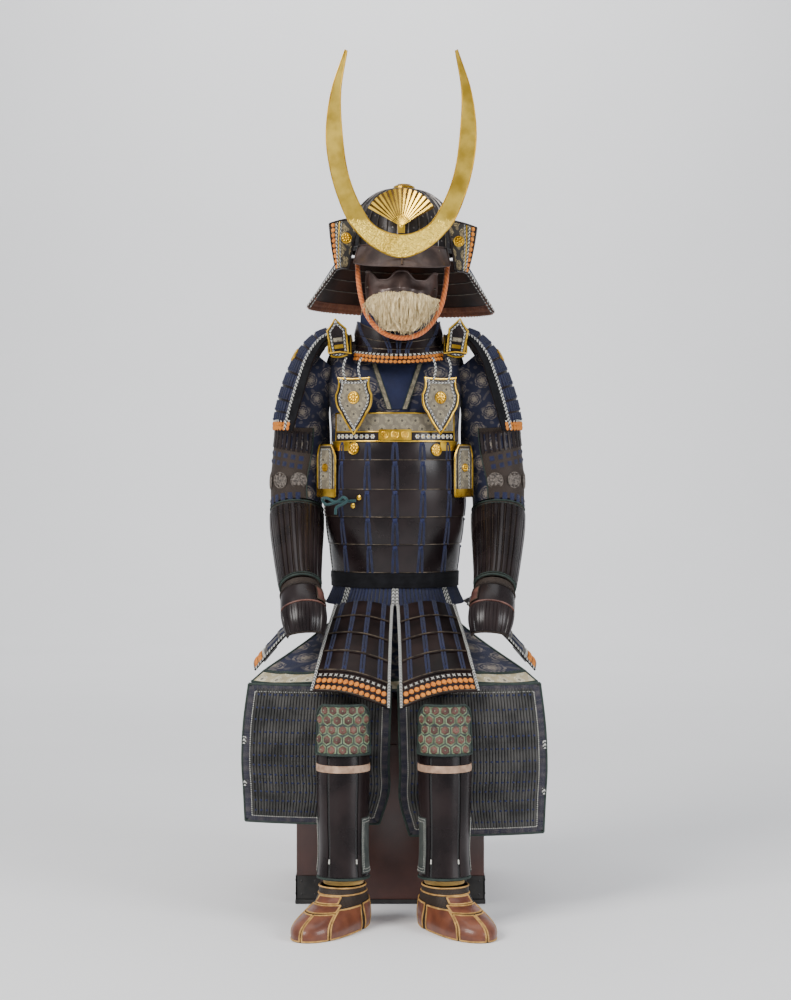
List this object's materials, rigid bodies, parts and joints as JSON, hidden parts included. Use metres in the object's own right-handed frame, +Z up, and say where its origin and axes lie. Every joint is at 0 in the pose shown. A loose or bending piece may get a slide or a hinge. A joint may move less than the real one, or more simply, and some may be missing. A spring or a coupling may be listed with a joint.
{
  "type": "samurai armour on armour box",
  "caption": "Seated suit of samurai armour: horned helmet with mask, laced cuirass and skirts, armoured sleeves, apron, shin guards and shoes, on a lacquered box.",
  "frame": {"origin": "bottom centre of the whole set, on the floor", "axes": "+Z up, the suit faces -Y, its left hand is towards +X"},
  "size_m": [0.576, 0.747, 1.648],
  "materials": {
    "box_lacquer": "dark red-brown lacquer over wood",
    "black_lacquer": "black-brown lacquer over iron and rawhide",
    "russet_iron": "russet iron, satin",
    "gilt": "polished gilt copper",
    "gilt_leather": "printed leather in a gilt rim",
    "navy_lacing": "navy silk braid over lacquered lames",
    "navy_brocade": "navy brocade with woven flowers",
    "apron_scales": "grey-black lacquered scales",
    "hex_leather": "quilted leather with studs",
    "tie_leather": "pale leather tie",
    "shoe_lacquer": "red-brown lacquer with mail seams",
    "gold_cloth": "golden yellow crepe",
    "orange_cord": "padded orange silk cord",
    "teal_silk": "blue-green silk cord",
    "pale_hair": "pale animal hair"
  },
  "bodies": {
    "root": {"apron_panel_left": "apron_scales", "apron_panel_right": "apron_scales", "apron_top": "navy_brocade", "armpit_plate_left": "gilt_leather", "armpit_plate_right": "gilt_leather", "back_plate": "black_lacquer", "beard": "pale_hair", "belt": "black_lacquer", "box_body": "box_lacquer", "box_lid": "box_lacquer", "breast_lame": "black_lacquer", "chest_lame": "black_lacquer", "chest_plate": "gilt_leather", "chin_cord": "orange_cord", "closing_cord": "teal_silk", "crescent_crest": "gilt", "fan_crest": "gilt", "finial": "gilt", "forearm_splints_left": "black_lacquer", "forearm_splints_right": "black_lacquer", "hand_guard_left": "black_lacquer", "hand_guard_right": "black_lacquer", "helmet_bowl": "black_lacquer", "hip_lame": "black_lacquer", "knee_flap_left": "hex_leather", "knee_flap_right": "hex_leather", "lacing_skirt": "navy_lacing", "leaf_plate_left": "gilt_leather", "leaf_plate_right": "gilt_leather", "legging_left": "gold_cloth", "legging_right": "gold_cloth", "mask": "russet_iron", "neck_guard": "black_lacquer", "rib_lame": "black_lacquer", "robe": "navy_brocade", "robe_collar_left": "gilt_leather", "robe_collar_right": "gilt_leather", "shin_guard_left": "black_lacquer", "shin_guard_right": "black_lacquer", "shin_tie_left": "tie_leather", "shin_tie_right": "tie_leather", "shoe_left": "shoe_lacquer", "shoe_right": "shoe_lacquer", "shoulder_guard_left": "navy_lacing", "shoulder_guard_right": "navy_lacing", "shoulder_strap_left": "black_lacquer", "shoulder_strap_right": "black_lacquer", "sleeve_left": "navy_brocade", "sleeve_right": "navy_brocade", "tasset_back_left": "black_lacquer", "tasset_back_right": "black_lacquer", "tasset_front_left": "black_lacquer", "tasset_front_right": "black_lacquer", "tasset_side_left": "black_lacquer", "tasset_side_right": "black_lacquer", "throat_guard": "black_lacquer", "turn_back_left": "gilt_leather", "turn_back_right": "gilt_leather", "visor": "russet_iron", "waist_lame": "black_lacquer"}
  },
  "joints": []
}
